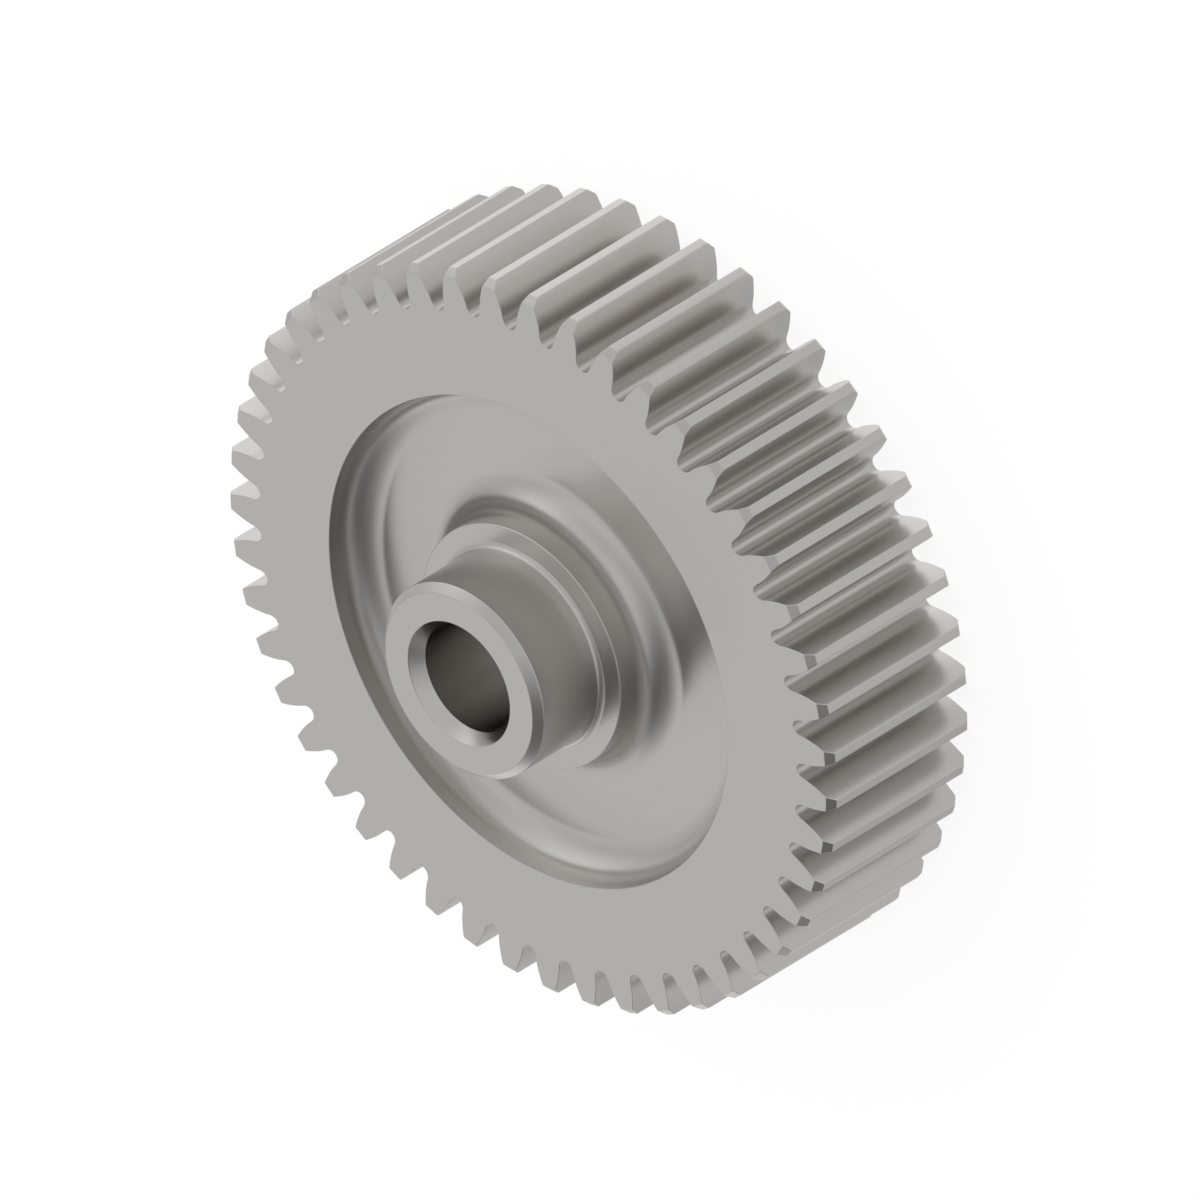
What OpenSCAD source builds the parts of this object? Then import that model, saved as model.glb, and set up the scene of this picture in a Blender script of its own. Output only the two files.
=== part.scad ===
// Spur idler gear in one piece: toothed rim, recessed web, shoulder and hub.
// The gear stands on its back face at z = 0, its axis is +Z and the hub is on top.
// A tooth is centred on +X. Lengths are in millimetres and angles in degrees.

/* [Teeth] */
// Number of teeth
teeth = 47; // [40:1:60]
// Module: pitch diameter divided by the number of teeth
tooth_module = 3; // [2.5:0.05:3.5]
// Pressure angle of the flanks at the pitch circle
pressure_angle = 17.5; // [15:0.5:20]
// Height of a tooth above the pitch circle, in modules
addendum = 1.25; // [1:0.01:1.3]
// Depth of a tooth space below the pitch circle, in modules
dedendum = 1.58; // [1.35:0.01:1.65]
// Chamfer of 45 degrees on the tooth tips, at both faces of the rim
tip_chamfer = 1.4; // [0.3:0.1:2.5]

/* [Rim and web] */
// Width of the rim along the axis
face_width = 37.5; // [30:0.5:50]
// Thickness of the rim between the bottom of the teeth and the recess
rim_wall = 17; // [8:0.5:20]
// Depth of the ring-shaped recess on each side of the web
recess_depth = 8.2; // [5:0.1:12]
// Radius in both corners at the bottom of each recess
recess_fillet = 6.2; // [1:0.1:6.9]

/* [Hub] */
// Diameter of the hub
hub_dia = 39; // [34:0.5:44]
// Height of the hub above the front face of the rim
hub_projection = 18.5; // [10:0.5:30]
// Chamfer of 45 degrees round the end of the hub
hub_chamfer = 1.5; // [0.5:0.1:2.5]
// Width of the flat shoulder round the foot of the hub
shoulder_width = 4.8; // [3:0.1:6]
// Height of the shoulder above the front face of the rim
shoulder_rise = 1.9; // [0.5:0.1:4]
// Radius in the corner between the hub and the shoulder
hub_fillet = 1.3; // [0.3:0.1:2]

/* [Bore] */
// Diameter of the bore, which runs on a plain pin
bore_dia = 21.5; // [14:0.5:26]
// Width of the chamfer at both mouths of the bore, measured across the end face
bore_chamfer_width = 1.7; // [0.5:0.1:3]
// Depth of the same chamfer, measured along the bore
bore_chamfer_depth = 2.9; // [0.5:0.1:5]

/* [Hidden] */

$fn = 144;
flank_steps = 8;
root_steps = 6;
overcut = 1;

pitch_r = tooth_module * teeth / 2;
base_r = pitch_r * cos(pressure_angle);
tip_r = pitch_r + addendum * tooth_module;
space_depth = dedendum * tooth_module;
root_r = pitch_r - space_depth;

recess_r = root_r - rim_wall;
hub_r = hub_dia / 2;
shoulder_r = hub_r + shoulder_width;
shoulder_top = face_width + shoulder_rise;
hub_top = face_width + hub_projection;
bore_r = bore_dia / 2;

// The teeth are those that a rack cutter with a fully round tip rolls out of
// the blank. The round of the cutter follows from the width of its tip.
cutter_tip_half = PI * tooth_module / 4 - space_depth * tan(pressure_angle);
cutter_round = cutter_tip_half * cos(pressure_angle) / (1 - sin(pressure_angle));
round_centre_depth = space_depth - cutter_round;
roll_end = round_centre_depth / (pitch_r * tan(pressure_angle)) * 180 / PI;

// Involute of an angle, in degrees
function involute(a) = tan(a) * 180 / PI - a;

// Half the angle that a tooth space covers at radius r, on the involute flank
function space_half_angle(r) =
    90 / teeth - involute(pressure_angle) + involute(acos(base_r / r));

// A point as [along the middle of the tooth space, across it]
function flank_point(r) =
    r * [cos(space_half_angle(r)), sin(space_half_angle(r))];

// Rounded root: the cutter's round touches the gear on the line from the
// rolling point to the centre of the round, when the gear has rolled by a
function root_point(a) =
    let (
        slide = pitch_r * a * PI / 180,
        to_centre = [slide, -round_centre_depth],
        touch = [0, pitch_r] + to_centre * (1 + cutter_round / norm(to_centre))
    )
    [touch.x * sin(a) + touch.y * cos(a), touch.x * cos(a) - touch.y * sin(a)];

// One side of a tooth space, from its bottom out to beyond the tooth tips
function space_side() =
    let (flank_start = norm(root_point(roll_end)), flank_end = tip_r + overcut)
    concat(
        [for (i = [1:root_steps]) root_point(roll_end * i / root_steps)],
        [for (i = [1:flank_steps])
            flank_point(flank_start + (flank_end - flank_start) * i / flank_steps)]
    );

// Outline of one tooth space, with its middle along +X
module tooth_space_outline() {
    side = space_side();
    last = len(side) - 1;
    polygon(concat(
        [[root_r, 0]],
        side,
        [for (i = [last:-1:0]) [side[i].x, -side[i].y]]
    ));
}

// Half section of the rim and web before the recesses are turned
module rim_section() {
    polygon([
        [0, 0],
        [tip_r - tip_chamfer, 0],
        [tip_r, tip_chamfer],
        [tip_r, face_width - tip_chamfer],
        [tip_r - tip_chamfer, face_width],
        [0, face_width]
    ]);
}

// Half section of the shoulder and the hub, with the small radius between them
module hub_section() {
    square([shoulder_r, shoulder_top]);
    polygon([
        [0, 0],
        [hub_r, 0],
        [hub_r, hub_top - hub_chamfer],
        [hub_r - hub_chamfer, hub_top],
        [0, hub_top]
    ]);
    translate([hub_r, shoulder_top]) difference() {
        square(hub_fillet);
        translate([hub_fillet, hub_fillet]) circle(hub_fillet);
    }
}

// Half section of a recess that opens upwards, with its floor at height 0
module recess_section() {
    opening = recess_depth + shoulder_rise + overcut;
    translate([shoulder_r, recess_fillet])
        square([recess_r - shoulder_r, opening - recess_fillet]);
    translate([shoulder_r + recess_fillet, 0])
        square([recess_r - shoulder_r - 2 * recess_fillet, opening]);
    for (x = [shoulder_r + recess_fillet, recess_r - recess_fillet])
        translate([x, recess_fillet]) circle(recess_fillet);
}

// Half section of the bore with its chamfered mouths
module bore_section() {
    mouth = bore_chamfer_width * (1 + overcut / bore_chamfer_depth);
    polygon([
        [-overcut, -overcut],
        [bore_r + mouth, -overcut],
        [bore_r, bore_chamfer_depth],
        [bore_r, hub_top - bore_chamfer_depth],
        [bore_r + mouth, hub_top + overcut],
        [-overcut, hub_top + overcut]
    ]);
}

// Half section of the turned blank
module blank_section() {
    difference() {
        union() {
            rim_section();
            hub_section();
        }
        translate([0, face_width - recess_depth]) recess_section();
        translate([0, recess_depth]) mirror([0, 1]) recess_section();
        bore_section();
    }
}

// The gear: a turned blank with the tooth spaces cut through its rim
module idler_gear() {
    color([0.69, 0.68, 0.67]) difference() {
        rotate_extrude() blank_section();
        for (k = [0:teeth - 1])
            rotate([0, 0, (k + 0.5) * 360 / teeth])
                translate([0, 0, -overcut])
                    linear_extrude(height = face_width + 2 * overcut)
                        tooth_space_outline();
    }
}

idler_gear();
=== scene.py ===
# %% [markdown]
# # A spur idler gear, turned and hobbed from one piece of steel
# The real gear starts as a steel blank on a lathe. The lathe leaves the flat faces, the
# ring-shaped recess on each side, the shoulder, the hub and the bore. A gear hobber then
# cuts the tooth spaces through the rim. This lesson models it in the same order, and reads
# the tip radius and the end of the hub from the imported CAD model.

# %% Load the imported gear
import math

import bmesh
import bpy
from mathutils import Matrix, Vector


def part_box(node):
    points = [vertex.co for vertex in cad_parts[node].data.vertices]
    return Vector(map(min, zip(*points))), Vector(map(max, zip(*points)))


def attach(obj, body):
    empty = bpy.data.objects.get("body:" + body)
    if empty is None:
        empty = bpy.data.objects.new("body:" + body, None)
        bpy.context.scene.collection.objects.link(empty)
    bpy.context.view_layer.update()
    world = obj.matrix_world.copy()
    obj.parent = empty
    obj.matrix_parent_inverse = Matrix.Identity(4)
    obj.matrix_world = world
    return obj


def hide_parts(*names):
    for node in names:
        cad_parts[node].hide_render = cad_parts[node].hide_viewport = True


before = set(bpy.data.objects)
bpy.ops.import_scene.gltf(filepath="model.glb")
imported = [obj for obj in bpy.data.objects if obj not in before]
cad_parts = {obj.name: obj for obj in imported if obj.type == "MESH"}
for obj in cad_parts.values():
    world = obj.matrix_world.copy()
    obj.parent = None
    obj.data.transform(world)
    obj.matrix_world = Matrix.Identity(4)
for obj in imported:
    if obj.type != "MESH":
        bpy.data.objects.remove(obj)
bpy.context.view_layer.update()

# %% [markdown]
# ## Sizes
# All lengths are in metres. A tooth is centred on +X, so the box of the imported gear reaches
# exactly one tip radius along +X, and its top is the end of the hub. The module, which is
# the pitch diameter divided by the number of teeth, follows from that tip radius.

# %% Sizes of the gear
MM = 0.001
_, high_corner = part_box("idler_gear")

TEETH = 47
PITCH_ANGLE = 2 * math.pi / TEETH
PRESSURE_ANGLE = math.radians(17.5)
ADDENDUM_MODULES = 1.25
DEDENDUM_MODULES = 1.58

TIP_RADIUS = high_corner.x
MODULE = TIP_RADIUS / (TEETH / 2 + ADDENDUM_MODULES)
PITCH_RADIUS = MODULE * TEETH / 2
BASE_RADIUS = PITCH_RADIUS * math.cos(PRESSURE_ANGLE)
SPACE_DEPTH = DEDENDUM_MODULES * MODULE
ROOT_RADIUS = PITCH_RADIUS - SPACE_DEPTH
TIP_CHAMFER = 1.4 * MM

HUB_TOP = high_corner.z
HUB_PROJECTION = 18.5 * MM
FACE_WIDTH = HUB_TOP - HUB_PROJECTION
RIM_WALL = 17 * MM
RECESS_RADIUS = ROOT_RADIUS - RIM_WALL
RECESS_DEPTH = 8.2 * MM
RECESS_FILLET = 6.2 * MM

HUB_RADIUS = 19.5 * MM
HUB_CHAMFER = 1.5 * MM
HUB_FILLET = 1.3 * MM
SHOULDER_WIDTH = 4.8 * MM
SHOULDER_RISE = 1.9 * MM
SHOULDER_RADIUS = HUB_RADIUS + SHOULDER_WIDTH
SHOULDER_TOP = FACE_WIDTH + SHOULDER_RISE

BORE_RADIUS = 10.75 * MM
BORE_CHAMFER_WIDTH = 1.7 * MM
BORE_CHAMFER_DEPTH = 2.9 * MM

print("module %.3f mm" % (MODULE / MM), "face width %.2f mm" % (FACE_WIDTH / MM))

# %% [markdown]
# ## The camera
# The photograph has no perspective: the edges of all 47 teeth run parallel. So the camera
# is orthographic. It looks 37.7 degrees down on the front face and is rolled so that the
# hub points to the lower left. The middle of the front face lies 72 px left of and 42 px
# below the middle of the 1200 px picture, in which 1 px is 0.1801 mm.

# %% Camera at the photograph's angle
PICTURE_PX = 1200
METRES_PER_PX = 0.1801 * MM
VIEW_BEARING = math.radians(-91.43)
VIEW_HEIGHT_ANGLE = math.radians(37.70)
AXIS_ON_PICTURE = math.radians(211.14)
FACE_CENTRE_LEFT_PX = 71.65
FACE_CENTRE_BELOW_PX = 42.02
CAMERA_DISTANCE = 0.6

view_back = Vector((
    math.cos(VIEW_BEARING) * math.cos(VIEW_HEIGHT_ANGLE),
    math.sin(VIEW_BEARING) * math.cos(VIEW_HEIGHT_ANGLE),
    math.sin(VIEW_HEIGHT_ANGLE),
))
level_right = Vector((0, 0, 1)).cross(view_back).normalized()
roll = Matrix.Rotation(math.radians(90) - AXIS_ON_PICTURE, 3, view_back)
view_right = roll @ level_right
view_up = view_back.cross(view_right)

front_centre = Vector((0, 0, FACE_WIDTH))
aim = (
    front_centre
    + view_right * FACE_CENTRE_LEFT_PX * METRES_PER_PX
    + view_up * FACE_CENTRE_BELOW_PX * METRES_PER_PX
)
camera_data = bpy.data.cameras.new("photo_camera")
camera_data.type = "ORTHO"
camera_data.ortho_scale = PICTURE_PX * METRES_PER_PX
camera = bpy.data.objects.new("photo_camera", camera_data)
bpy.context.scene.collection.objects.link(camera)
turned = Matrix((view_right, view_up, view_back)).transposed().to_4x4()
camera.matrix_world = Matrix.Translation(aim + view_back * CAMERA_DISTANCE) @ turned
bpy.context.scene.camera = camera
print("camera right", tuple(round(v, 3) for v in view_right))

# %% [markdown]
# ## The studio
# Bare steel has no colour of its own to speak of. It shows what it mirrors, so the studio
# matters more than the lamps. The photograph's steel mirrors a light grey room: a white
# backdrop stands above and behind the gear, dark cloth hangs below it and towards the
# camera, a pale wall stands at the left, the corner behind it is dim, and one small pale
# patch shows low down behind the gear. The world holds each of these as a soft round patch
# that is added to the grey of the room. A patch is placed by how far it lies to the right,
# above and back towards the camera. To set them, ask of each face of the gear which way it
# mirrors the view, and how light it is in the photograph: round values are enough.

# %% Soft patches of the studio
ROOM_GREY = 0.64
STUDIO_PATCHES = {
    # name: toward (right, up, back), strength added, reach in degrees
    "white_backdrop": ((-0.5, 0.7, -0.5), 0.35, 70),
    "pale_wall": ((-0.9, -0.3, -0.3), 0.10, 25),
    "low_pale_patch": ((-0.1, -0.8, -0.7), 0.25, 25),
    "dim_corner": ((-0.8, 0.2, -0.5), -0.25, 55),
    "dim_corner_core": ((-0.8, 0.3, -0.6), -0.15, 35),
    "dark_cloth_below": ((0.0, -1.0, 0.2), -0.20, 50),
    "dark_cloth_in_front": ((-0.1, -0.9, 0.4), -0.20, 60),
    "dark_cloth_at_right": ((0.5, -0.8, -0.3), -0.15, 55),
    "dim_below_camera": ((-0.1, -0.7, 0.8), -0.10, 50),
    "dim_beside_camera": ((-0.5, 0.1, 0.8), -0.10, 30),
}
print("studio patches:", ", ".join(STUDIO_PATCHES))

# %% [markdown]
# ## Helpers for the world's nodes
# A patch is brightest in its middle and fades out at its reach. The dot product of two
# directions is the cosine of the angle between them, so Map Range can turn it into that
# fade. A second helper tells the rays that come straight from the camera, or through
# glass, from all the others.

# %% Node helpers for light
def studio_to_world(toward):
    """A direction given as (right, up, back) of the camera, in the gear's axes."""
    right, up, back = toward
    return (view_right * right + view_up * up + view_back * back).normalized()


def math_node(tree, operation, first, second):
    """The result of a math node whose inputs are sockets or plain numbers."""
    node = tree.nodes.new("ShaderNodeMath")
    node.operation = operation
    for socket, value in zip(node.inputs, (first, second)):
        if isinstance(value, (int, float)):
            socket.default_value = value
        else:
            tree.links.new(value, socket)
    return node.outputs["Value"]


def add_patch(tree, direction, total, toward, strength, reach):
    """Adds one soft round patch of light to total and returns the sum."""
    facing = tree.nodes.new("ShaderNodeVectorMath")
    facing.operation = "DOT_PRODUCT"
    facing.inputs[1].default_value = studio_to_world(toward)
    tree.links.new(direction, facing.inputs[0])
    falloff = tree.nodes.new("ShaderNodeMapRange")
    falloff.interpolation_type = "SMOOTHSTEP"
    falloff.inputs["From Min"].default_value = math.cos(math.radians(reach))
    falloff.inputs["From Max"].default_value = 1.0
    falloff.inputs["To Max"].default_value = strength
    tree.links.new(facing.outputs["Value"], falloff.inputs["Value"])
    return math_node(tree, "ADD", total, falloff.outputs["Result"])


def seen_through(tree):
    """A socket that is 1 for rays straight from the camera or through glass, else 0."""
    rays = tree.nodes.new("ShaderNodeLightPath").outputs
    return math_node(tree, "MAXIMUM", rays["Is Camera Ray"], rays["Is Transmission Ray"])


backdrop_toward = studio_to_world(STUDIO_PATCHES["white_backdrop"][0])
print("the backdrop lies toward", tuple(round(v, 2) for v in backdrop_toward))

# %% [markdown]
# ## The world
# The world mixes two backgrounds. The camera sees plain white, as in the photograph, and
# the steel sees the grey room with its patches. No lamp is needed besides. The Standard
# view shows a colour about as it is written.

# %% World
WHITE = (1, 1, 1, 1)


def build_world():
    """White for the camera, the soft studio for everything else."""
    world = bpy.data.worlds.new("soft_studio")
    world.use_nodes = True
    tree = world.node_tree
    tree.nodes.clear()
    direction = tree.nodes.new("ShaderNodeTexCoord").outputs["Generated"]
    total = ROOM_GREY
    for patch in STUDIO_PATCHES.values():
        total = add_patch(tree, direction, total, *patch)
    studio = tree.nodes.new("ShaderNodeBackground")
    studio.inputs["Color"].default_value = WHITE
    tree.links.new(total, studio.inputs["Strength"])
    white = tree.nodes.new("ShaderNodeBackground")
    white.inputs["Color"].default_value = WHITE
    mix = tree.nodes.new("ShaderNodeMixShader")
    tree.links.new(seen_through(tree), mix.inputs["Fac"])
    tree.links.new(studio.outputs["Background"], mix.inputs[1])
    tree.links.new(white.outputs["Background"], mix.inputs[2])
    output = tree.nodes.new("ShaderNodeOutputWorld")
    tree.links.new(mix.outputs["Shader"], output.inputs["Surface"])
    bpy.context.scene.world = world


build_world()
bpy.context.scene.view_settings.view_transform = "Standard"
print("world:", bpy.context.scene.world.name)

# %% [markdown]
# ## The floor
# The gear stands on its back face on a plain white floor. A matt floor that takes only the
# grey room's light would render grey, and more light would spoil the steel. So the floor
# adds its own white for the rays that come from the camera, and keeps its matt shading
# under it, which holds the faint shadow of the gear. The steel doesn't mirror this floor:
# in the photograph its lower sides show the grey room.

# %% Floor
FLOOR_HALF = 3.0
FLOOR_BELOW_GEAR = 0.1 * MM
FLOOR_COLOUR = (0.30, 0.30, 0.30, 1)
FLOOR_WHITE_FOR_CAMERA = 0.86


def floor_material():
    """Matt pale grey, raised to white for the camera."""
    material = bpy.data.materials.new("white_floor")
    material.use_nodes = True
    tree = material.node_tree
    tree.nodes.clear()
    matt = tree.nodes.new("ShaderNodeBsdfDiffuse")
    matt.inputs["Color"].default_value = FLOOR_COLOUR
    glow = tree.nodes.new("ShaderNodeEmission")
    lift = math_node(tree, "MULTIPLY", seen_through(tree), FLOOR_WHITE_FOR_CAMERA)
    tree.links.new(lift, glow.inputs["Strength"])
    both = tree.nodes.new("ShaderNodeAddShader")
    tree.links.new(matt.outputs["BSDF"], both.inputs[0])
    tree.links.new(glow.outputs["Emission"], both.inputs[1])
    output = tree.nodes.new("ShaderNodeOutputMaterial")
    tree.links.new(both.outputs["Shader"], output.inputs["Surface"])
    return material


def build_floor():
    """A plain white floor just under the gear."""
    bm = bmesh.new()
    bmesh.ops.create_grid(bm, x_segments=1, y_segments=1, size=FLOOR_HALF)
    bmesh.ops.translate(bm, verts=bm.verts[:], vec=(0, 0, -FLOOR_BELOW_GEAR))
    mesh = bpy.data.meshes.new("floor")
    bm.to_mesh(mesh)
    bm.free()
    mesh.materials.append(floor_material())
    floor = bpy.data.objects.new("floor", mesh)
    bpy.context.scene.collection.objects.link(floor)
    floor.visible_glossy = False


build_floor()
print("floor side %.1f m" % (2 * FLOOR_HALF))

# %% [markdown]
# ## The turned body
# A lathe makes any shape whose section is the same all round. So the body starts as the
# few corner points of its half section, joined by edges and spun round the axis. The
# section stops just inside the teeth, at the join radius. The spin takes a whole number
# of steps to each tooth, so that the toothed rim fits onto it later, point to point.

# %% Spin the half section
JOIN_BELOW_ROOT = 1.2 * MM
JOIN_RADIUS = ROOT_RADIUS - JOIN_BELOW_ROOT
STEPS_PER_TOOTH = 8
WEB_TOP = FACE_WIDTH - RECESS_DEPTH
WEB_BOTTOM = RECESS_DEPTH

half_section = [
    (JOIN_RADIUS, FACE_WIDTH),
    (RECESS_RADIUS, FACE_WIDTH),
    (RECESS_RADIUS, WEB_TOP),
    (SHOULDER_RADIUS, WEB_TOP),
    (SHOULDER_RADIUS, SHOULDER_TOP),
    (HUB_RADIUS, SHOULDER_TOP),
    (HUB_RADIUS, HUB_TOP - HUB_CHAMFER),
    (HUB_RADIUS - HUB_CHAMFER, HUB_TOP),
    (BORE_RADIUS + BORE_CHAMFER_WIDTH, HUB_TOP),
    (BORE_RADIUS, HUB_TOP - BORE_CHAMFER_DEPTH),
    (BORE_RADIUS, BORE_CHAMFER_DEPTH),
    (BORE_RADIUS + BORE_CHAMFER_WIDTH, 0),
    (SHOULDER_RADIUS, 0),
    (SHOULDER_RADIUS, WEB_BOTTOM),
    (RECESS_RADIUS, WEB_BOTTOM),
    (RECESS_RADIUS, 0),
    (JOIN_RADIUS, 0),
]


def polar(radius, angle, height=0.0):
    """A point given by its radius, its angle about the axis and its height."""
    return Vector((radius * math.cos(angle), radius * math.sin(angle), height))


def spin_body():
    """The turned body as an open shell that ends at the join radius."""
    bm = bmesh.new()
    start = -PITCH_ANGLE / 2
    points = [bm.verts.new(polar(r, start, z)) for r, z in half_section]
    edges = [bm.edges.new(pair) for pair in zip(points, points[1:])]
    bmesh.ops.spin(
        bm, geom=points + edges, cent=(0, 0, 0), axis=(0, 0, 1), dvec=(0, 0, 0),
        angle=2 * math.pi, steps=TEETH * STEPS_PER_TOOTH,
        use_merge=True, use_duplicate=False,
    )
    return bm


gear_bm = spin_body()
print("body faces:", len(gear_bm.faces))

# %% [markdown]
# ## Corners of the body
# On the real gear no turned corner is sharp. The recess has a wide radius at the foot of
# both of its walls, left by a round-nosed tool. The hub has a small one where it meets
# the shoulder. The outer corners are only broken by a touch of a file, and that thin
# facet is what draws a fine bright line along an edge. Bevel rounds a whole ring of edges
# at once: the offset is the radius on a square corner.

# %% Round the rings
RING_TOLERANCE = 0.01 * MM
EDGE_BREAK = 0.15 * MM
SHOULDER_BREAK = 0.25 * MM
RECESS_SEGMENTS = 16
HUB_FILLET_SEGMENTS = 8
SHOULDER_SEGMENTS = 3
BREAK_SEGMENTS = 2


def ring_edges(bm, radius, height):
    """The edges of the circle with this radius and height."""
    def on_ring(vert):
        off = abs(math.hypot(vert.co.x, vert.co.y) - radius)
        return off < RING_TOLERANCE and abs(vert.co.z - height) < RING_TOLERANCE
    return [e for e in bm.edges if on_ring(e.verts[0]) and on_ring(e.verts[1])]


def bevel_edges(bm, edges, offset, segments):
    """Rounds the given edges with an arc of that many segments."""
    bmesh.ops.bevel(
        bm, geom=edges, offset=offset, offset_type="OFFSET", segments=segments,
        profile=0.5, affect="EDGES", material=-1, clamp_overlap=True,
    )


ring_rounds = [
    # radius, height, size of the round, segments
    (RECESS_RADIUS, WEB_TOP, RECESS_FILLET, RECESS_SEGMENTS),
    (SHOULDER_RADIUS, WEB_TOP, RECESS_FILLET, RECESS_SEGMENTS),
    (RECESS_RADIUS, WEB_BOTTOM, RECESS_FILLET, RECESS_SEGMENTS),
    (SHOULDER_RADIUS, WEB_BOTTOM, RECESS_FILLET, RECESS_SEGMENTS),
    (HUB_RADIUS, SHOULDER_TOP, HUB_FILLET, HUB_FILLET_SEGMENTS),
    (RECESS_RADIUS, FACE_WIDTH, EDGE_BREAK, BREAK_SEGMENTS),
    (RECESS_RADIUS, 0, EDGE_BREAK, BREAK_SEGMENTS),
    (SHOULDER_RADIUS, SHOULDER_TOP, SHOULDER_BREAK, SHOULDER_SEGMENTS),
    (SHOULDER_RADIUS, 0, EDGE_BREAK, BREAK_SEGMENTS),
    (HUB_RADIUS, HUB_TOP - HUB_CHAMFER, EDGE_BREAK, BREAK_SEGMENTS),
    (HUB_RADIUS - HUB_CHAMFER, HUB_TOP, EDGE_BREAK, BREAK_SEGMENTS),
    (BORE_RADIUS + BORE_CHAMFER_WIDTH, HUB_TOP, EDGE_BREAK, BREAK_SEGMENTS),
    (BORE_RADIUS, HUB_TOP - BORE_CHAMFER_DEPTH, EDGE_BREAK, BREAK_SEGMENTS),
    (BORE_RADIUS, BORE_CHAMFER_DEPTH, EDGE_BREAK, BREAK_SEGMENTS),
    (BORE_RADIUS + BORE_CHAMFER_WIDTH, 0, EDGE_BREAK, BREAK_SEGMENTS),
]
for radius, height, size, segments in ring_rounds:
    bevel_edges(gear_bm, ring_edges(gear_bm, radius, height), size, segments)
print("body faces with rounded corners:", len(gear_bm.faces))

# %% [markdown]
# ## One tooth
# A hob rolls the tooth out of the blank. Its straight cutting edges leave an involute
# flank, and its fully round tip leaves the hollow at the root. Both curves come from the
# rolling itself, so they are worked out point by point, here for half a tooth. One point
# lies just where the chamfer of the tip will cut the flank, so that the cut leaves no tiny
# edge behind. The tip has an odd number of steps, which keeps a point out of its middle.
# The other half is the mirror image. The outline becomes one flat face, which is extruded
# to the width of the rim.

# %% Outline of a tooth
ROOT_STEPS = 10
FLANK_STEPS = 11
CHAMFER_STEPS = 3
TIP_STEPS = 3
CHAMFER_FOOT = TIP_RADIUS - TIP_CHAMFER

hob_tip_half = math.pi * MODULE / 4 - SPACE_DEPTH * math.tan(PRESSURE_ANGLE)
hob_round = hob_tip_half * math.cos(PRESSURE_ANGLE) / (1 - math.sin(PRESSURE_ANGLE))
round_centre_depth = SPACE_DEPTH - hob_round
roll_end = round_centre_depth / (PITCH_RADIUS * math.tan(PRESSURE_ANGLE))


def involute(angle):
    """Involute function of an angle in radians."""
    return math.tan(angle) - angle


def flank_angle(radius):
    """Half the angle that a tooth covers at this radius, on its flank."""
    at_pitch = PITCH_ANGLE / 4 + involute(PRESSURE_ANGLE)
    return at_pitch - involute(math.acos(BASE_RADIUS / radius))


def root_point(rolled):
    """Radius and tooth angle of the root hollow when the hob has rolled this far."""
    slide = PITCH_RADIUS * rolled
    reach = 1 + hob_round / math.hypot(slide, round_centre_depth)
    across, along = slide * reach, PITCH_RADIUS - round_centre_depth * reach
    off_middle = math.atan2(across, along) - rolled
    return math.hypot(across, along), PITCH_ANGLE / 2 - off_middle


def steps_between(start, end, count):
    """Evenly spaced values after start, up to and including end."""
    return [start + (end - start) * i / count for i in range(1, count + 1)]


def half_outline():
    """Points (radius, angle) from the bottom of the space up to the tip."""
    root = [root_point(roll_end * i / ROOT_STEPS) for i in range(ROOT_STEPS + 1)]
    chamfer_corner = CHAMFER_FOOT / math.cos(flank_angle(CHAMFER_FOOT))
    radii = steps_between(root[-1][0], chamfer_corner, FLANK_STEPS)
    radii += steps_between(chamfer_corner, TIP_RADIUS, CHAMFER_STEPS)
    tip_angle = flank_angle(TIP_RADIUS)
    tip_steps = range(1, TIP_STEPS // 2 + 1)
    tip = [(TIP_RADIUS, tip_angle * (1 - 2 * i / TIP_STEPS)) for i in tip_steps]
    return root + [(r, flank_angle(r)) for r in radii] + tip


upper_half = half_outline()
lower_half = [(r, -a) for r, a in reversed(upper_half)]
print("outline points of a tooth:", len(upper_half) + len(lower_half))
print("tip land %.2f mm wide" % (2 * TIP_RADIUS * flank_angle(TIP_RADIUS) / MM))

# %% [markdown]
# ## Extrude the tooth
# Extruding the outline gives walls all round it. Those that face the next tooth or the
# body are taken away, because the metal goes on there.

# %% One tooth
CUT_TOLERANCE = 0.001 * MM
ANGLE_TOLERANCE = math.radians(0.0001)
UPRIGHT_LIMIT = 0.1


def is_upright(face):
    """True for a wall, whose normal hardly points up or down."""
    return abs(face.normal.z) < UPRIGHT_LIMIT


def open_walls(bm):
    """Walls on the join circle and on the two planes between this tooth and the next."""
    walls = []
    for face in bm.faces:
        middle = face.calc_center_median()
        at_join = middle.xy.length < JOIN_RADIUS + CUT_TOLERANCE
        off_middle = abs(math.atan2(middle.y, middle.x))
        beside = abs(off_middle - PITCH_ANGLE / 2) < ANGLE_TOLERANCE
        if is_upright(face) and (at_join or beside):
            walls.append(face)
    return walls


def tooth_prism():
    """One tooth with its share of the rim, open where the metal goes on."""
    bm = bmesh.new()
    steps = range(STEPS_PER_TOOTH + 1)
    inner = [(JOIN_RADIUS, PITCH_ANGLE * (i / STEPS_PER_TOOTH - 0.5)) for i in steps]
    outline = inner + upper_half + lower_half
    base = bm.faces.new([bm.verts.new(polar(r, a)) for r, a in outline])
    risen = bmesh.ops.extrude_face_region(bm, geom=[base], use_keep_orig=True)
    top = [v for v in risen["geom"] if isinstance(v, bmesh.types.BMVert)]
    bmesh.ops.translate(bm, verts=top, vec=(0, 0, FACE_WIDTH))
    bmesh.ops.delete(bm, geom=open_walls(bm), context="FACES_ONLY")
    return bm


tooth_bm = tooth_prism()
print("faces of one tooth:", len(tooth_bm.faces))

# %% [markdown]
# ## Chamfer and copy the tooth
# The chamfer at each end of the tip is a plane cut at 45 degrees, filled again with one
# face. Spin with copies then sets the tooth 47 times round the rim. The doubled points
# where two teeth meet are merged later.

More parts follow.
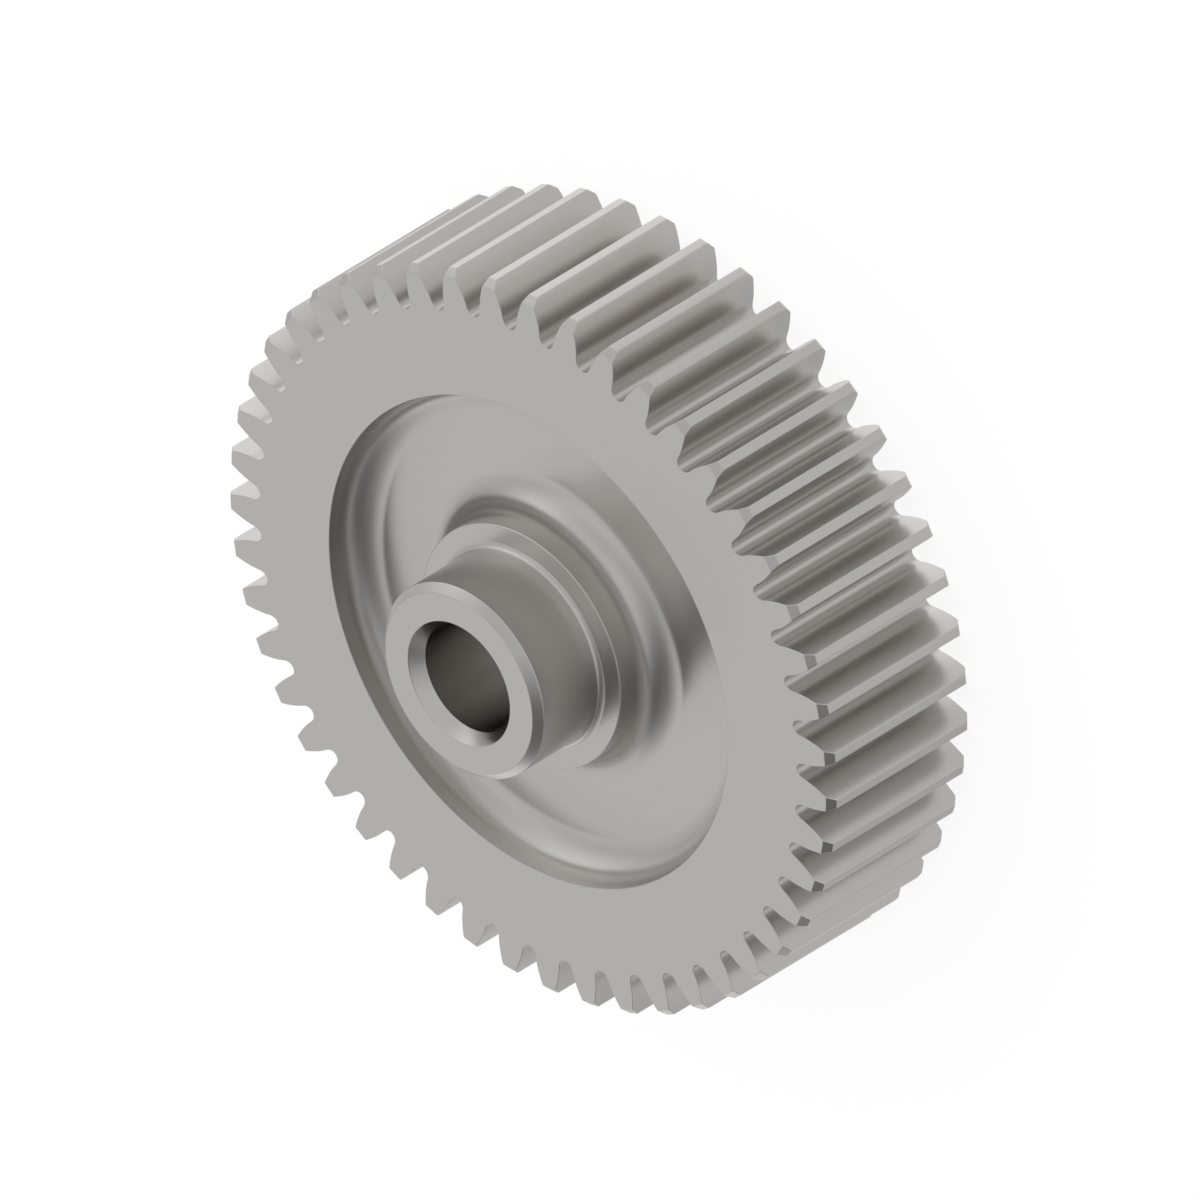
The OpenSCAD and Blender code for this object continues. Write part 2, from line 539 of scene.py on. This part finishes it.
# %% Toothed rim
def cut_tip_chamfer(bm, height, upward):
    """Cuts the end of the tip at 45 degrees and closes the cut with one face."""
    everything = bm.verts[:] + bm.edges[:] + bm.faces[:]
    cut = bmesh.ops.bisect_plane(
        bm, geom=everything, dist=CUT_TOLERANCE, clear_outer=True, clear_inner=False,
        plane_co=(CHAMFER_FOOT, 0, height), plane_no=(1, 0, upward),
    )
    rim = [e for e in cut["geom_cut"] if isinstance(e, bmesh.types.BMEdge)]
    bmesh.ops.contextual_create(bm, geom=rim)


def copy_round_the_rim(bm):
    """Copies the one tooth until the rim is full."""
    bmesh.ops.spin(
        bm, geom=bm.verts[:] + bm.edges[:] + bm.faces[:], cent=(0, 0, 0),
        axis=(0, 0, 1), dvec=(0, 0, 0), angle=PITCH_ANGLE * (TEETH - 1),
        steps=TEETH - 1, use_merge=False, use_duplicate=True,
    )


cut_tip_chamfer(tooth_bm, FACE_WIDTH, 1)
cut_tip_chamfer(tooth_bm, 0, -1)
copy_round_the_rim(tooth_bm)
print("faces of the toothed rim:", len(tooth_bm.faces))

# %% [markdown]
# ## Put the gear together
# The rim joins the body point to point: both have the same points on the join circle. So
# they go into one mesh, doubled points are merged, loose edges left from the walls that
# were taken away are deleted, and the normals are made to face outwards. The corners of
# the teeth are then broken by a tenth of a millimetre, as a deburring brush leaves them.
# Those narrow rounds mirror a bright part of the studio as fine light lines.

# %% Join, merge and deburr
MERGE_DISTANCE = 0.002 * MM
TOOTH_BREAK = 0.12 * MM
SHARP_CORNER = math.radians(30)


def append(bm, other):
    """Adds the geometry of the bmesh other to bm."""
    mesh = bpy.data.meshes.new("carrier")
    other.to_mesh(mesh)
    other.free()
    bm.from_mesh(mesh)
    bpy.data.meshes.remove(mesh)


append(gear_bm, tooth_bm)
bmesh.ops.remove_doubles(gear_bm, verts=gear_bm.verts[:], dist=MERGE_DISTANCE)
wires = [e for e in gear_bm.edges if e.is_wire]
bmesh.ops.delete(gear_bm, geom=wires, context="EDGES")
bmesh.ops.recalc_face_normals(gear_bm, faces=gear_bm.faces[:])
open_edges = [e for e in gear_bm.edges if not e.is_manifold]
print("open edges after joining:", len(open_edges))


def is_tooth_corner(edge):
    """True for a sharp outer or inner corner in the toothed zone."""
    middle = (edge.verts[0].co + edge.verts[1].co) / 2
    in_teeth = middle.xy.length > JOIN_RADIUS + CUT_TOLERANCE
    return in_teeth and edge.calc_face_angle(0) > SHARP_CORNER


corners = [e for e in gear_bm.edges if is_tooth_corner(e)]
bevel_edges(gear_bm, corners, TOOTH_BREAK, BREAK_SEGMENTS)
print("tooth corners broken:", len(corners), "faces:", len(gear_bm.faces))

# %% [markdown]
# ## Satin steel
# The whole gear is one grade of bare steel: a metallic shader whose colour is a slightly
# warm light grey. The bore's darker colour is painted shade for the inside of the hole.
# Everything else that the eye sees on steel comes from how rough it is and from what it
# mirrors.

# %% Steel shader
STEEL_COLOUR = (0.68, 0.66, 0.64, 1)
# The bore's darker colour is painted shade: it stands for the shade deep inside the hole.
BORE_PAINTED_SHADE_COLOUR = (0.55, 0.53, 0.51, 1)


def new_steel(name, colour):
    """A metallic material, its node tree and its shader."""
    material = bpy.data.materials.new(name)
    material.use_nodes = True
    tree = material.node_tree
    shader = tree.nodes["Principled BSDF"]
    shader.inputs["Base Color"].default_value = colour
    shader.inputs["Metallic"].default_value = 1.0
    return material, tree, shader


print("steel colour", STEEL_COLOUR[:3], "bore colour", BORE_PAINTED_SHADE_COLOUR[:3])

# %% [markdown]
# ## Marks of the tools
# Each tool leaves its own marks, finer than the photograph can show. So the marks work
# through the roughness, with hardly any bump. The pattern is noise that is stretched along
# the way the tool went. It reads Object coordinates, turned into the distance from the
# axis, the height and the angle.

# %% Tool marks
MARK_DETAIL = 3.0
MARK_GRAIN = 0.6
MARK_HEIGHT = 0.00005 * MM
MARK_STRENGTH = 0.3


def round_the_axis(tree):
    """Sockets with the distance from the axis, the height and the angle."""
    place = tree.nodes.new("ShaderNodeTexCoord").outputs["Object"]
    split = tree.nodes.new("ShaderNodeSeparateXYZ")
    tree.links.new(place, split.inputs["Vector"])
    x, y, z = split.outputs
    squares = math_node(
        tree, "ADD", math_node(tree, "MULTIPLY", x, x), math_node(tree, "MULTIPLY", y, y)
    )
    return math_node(tree, "SQRT", squares, 0.0), z, math_node(tree, "ARCTAN2", y, x)


def tool_marks(tree, first, second, first_scale, second_scale):
    """Noise of 0 to 1 on two coordinates, stretched by their scales."""
    place = tree.nodes.new("ShaderNodeCombineXYZ")
    tree.links.new(math_node(tree, "MULTIPLY", first, first_scale), place.inputs["X"])
    tree.links.new(math_node(tree, "MULTIPLY", second, second_scale), place.inputs["Y"])
    noise = tree.nodes.new("ShaderNodeTexNoise")
    noise.noise_dimensions = "2D"
    noise.inputs["Scale"].default_value = 1.0
    noise.inputs["Detail"].default_value = MARK_DETAIL
    noise.inputs["Roughness"].default_value = MARK_GRAIN
    tree.links.new(place.outputs["Vector"], noise.inputs["Vector"])
    return noise.outputs["Fac"]


def finish_steel(tree, shader, marks, roughness):
    """Lets the marks vary the roughness in its span and raise a very low bump."""
    span = tree.nodes.new("ShaderNodeMapRange")
    span.inputs["To Min"].default_value = roughness[0]
    span.inputs["To Max"].default_value = roughness[1]
    tree.links.new(marks, span.inputs["Value"])
    tree.links.new(span.outputs["Result"], shader.inputs["Roughness"])
    bump = tree.nodes.new("ShaderNodeBump")
    bump.inputs["Strength"].default_value = MARK_STRENGTH
    bump.inputs["Distance"].default_value = MARK_HEIGHT
    tree.links.new(marks, bump.inputs["Height"])
    tree.links.new(bump.outputs["Normal"], shader.inputs["Normal"])


print("height of the marks: %.5f mm" % (MARK_HEIGHT / MM))

# %% [markdown]
# ## Three finishes
# Turning leaves very fine rings round the axis on every turned face. Hobbing and shaving
# leave faint lines along the teeth and the roughest of the three finishes. Honing leaves
# the bore the smoothest, with lines that run round it.

# %% Turned, hobbed and honed steel
TURNED_ROUGHNESS = (0.23, 0.27)
HOBBED_ROUGHNESS = (0.27, 0.30)
HONED_ROUGHNESS = (0.22, 0.26)
RINGS_PER_METRE = 3000
HOB_LINES_PER_RADIAN = 500
HOB_LINES_PER_METRE = 60
HONE_LINES_PER_RADIAN = 6


def turned_steel():
    """Rings round the axis, about three to the millimetre."""
    material, tree, shader = new_steel("turned_steel", STEEL_COLOUR)
    distance, height, _ = round_the_axis(tree)
    marks = tool_marks(tree, distance, height, RINGS_PER_METRE, RINGS_PER_METRE)
    finish_steel(tree, shader, marks, TURNED_ROUGHNESS)
    return material


def hobbed_steel():
    """Faint lines along the teeth, set by the angle round the axis."""
    material, tree, shader = new_steel("hobbed_steel", STEEL_COLOUR)
    _, height, angle = round_the_axis(tree)
    marks = tool_marks(tree, angle, height, HOB_LINES_PER_RADIAN, HOB_LINES_PER_METRE)
    finish_steel(tree, shader, marks, HOBBED_ROUGHNESS)
    return material


def honed_steel_painted_shade():
    """The bore: a darker colour that is painted shade inside the hole, with lines that run
    round it.
    """
    material, tree, shader = new_steel("honed_steel_painted_shade", BORE_PAINTED_SHADE_COLOUR)
    _, height, angle = round_the_axis(tree)
    marks = tool_marks(tree, angle, height, HONE_LINES_PER_RADIAN, RINGS_PER_METRE)
    finish_steel(tree, shader, marks, HONED_ROUGHNESS)
    return material


steels = [turned_steel(), hobbed_steel(), honed_steel_painted_shade()]
TURNED, HOBBED, HONED = range(3)
print("materials:", [m.name for m in steels])

# %% [markdown]
# ## Make the object
# Faces between the teeth and on their flanks take the hobbed finish, and the wall of the
# bore the honed one. All others take the turned one, the tooth tips too, because the blank
# was turned before its teeth were cut. Everything is shaded smooth. Weighted normals let
# the large faces keep their true direction, so that each narrow round next to them takes
# up the whole turn.

# %% Gear object
EVEN_SHADING_WEIGHT = 50


def finish_of(face):
    """The number of the steel finish that this face takes."""
    radius = face.calc_center_median().xy.length
    if is_upright(face) and radius < BORE_RADIUS + RING_TOLERANCE:
        return HONED
    if is_upright(face) and JOIN_RADIUS < radius < TIP_RADIUS - TOOTH_BREAK:
        return HOBBED
    return TURNED


def build_gear(bm):
    """Turns the finished bmesh into the gear piece."""
    for face in bm.faces:
        face.smooth = True
        face.material_index = finish_of(face)
    mesh = bpy.data.meshes.new("steel_idler_gear")
    bm.to_mesh(mesh)
    bm.free()
    for steel in steels:
        mesh.materials.append(steel)
    gear = bpy.data.objects.new("steel_idler_gear", mesh)
    bpy.context.scene.collection.objects.link(gear)
    even = gear.modifiers.new("even_shading", "WEIGHTED_NORMAL")
    even.keep_sharp = True
    even.weight = EVEN_SHADING_WEIGHT
    return gear


gear = build_gear(gear_bm)
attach(gear, "root")
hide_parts("idler_gear")
gear.data.calc_loop_triangles()
print("triangles:", len(gear.data.loop_triangles))
